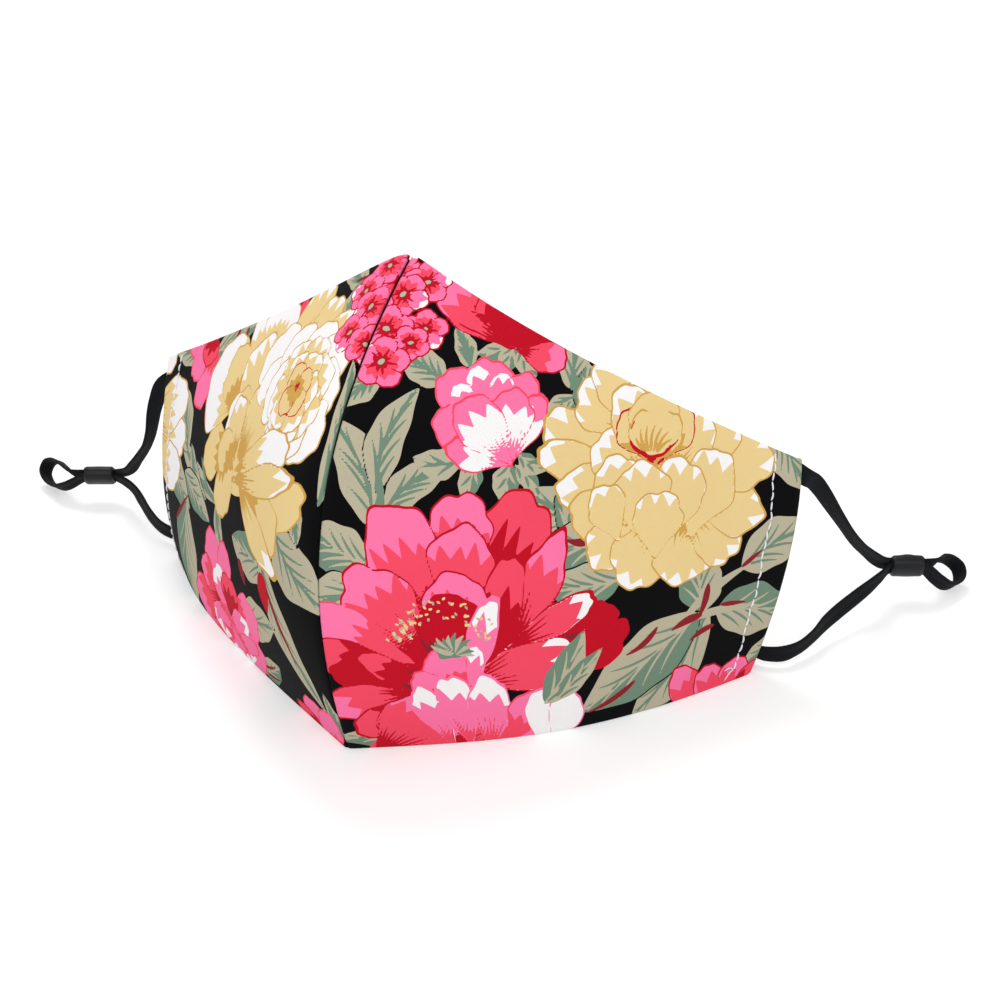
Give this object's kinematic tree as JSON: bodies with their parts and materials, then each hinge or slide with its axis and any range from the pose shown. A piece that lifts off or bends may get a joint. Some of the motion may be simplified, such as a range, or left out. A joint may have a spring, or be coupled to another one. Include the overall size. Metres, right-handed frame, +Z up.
{
  "type": "cloth face mask",
  "caption": "Contoured cloth face mask with a curved centre seam, floral print and flat elastic ear loops with soft size adjusters.",
  "frame": {"origin": "centre of the panels' box, at the bottom edge that the mask stands on", "axes": "+X to the right-hand side seen from the front, across both panels; -Y the way the centre seam faces; +Z up, towards the nose"},
  "size_m": [0.293, 0.1624, 0.1207],
  "materials": {
    "printed_cloth": "matt printed cotton",
    "black_elastic": "matt knitted elastic",
    "soft_plastic": "satin silicone"
  },
  "bodies": {
    "root": {"panel_right": "printed_cloth", "panel_left": "printed_cloth", "elastic_right": "black_elastic", "elastic_left": "black_elastic", "slider_right": "soft_plastic", "slider_left": "soft_plastic"}
  },
  "joints": []
}
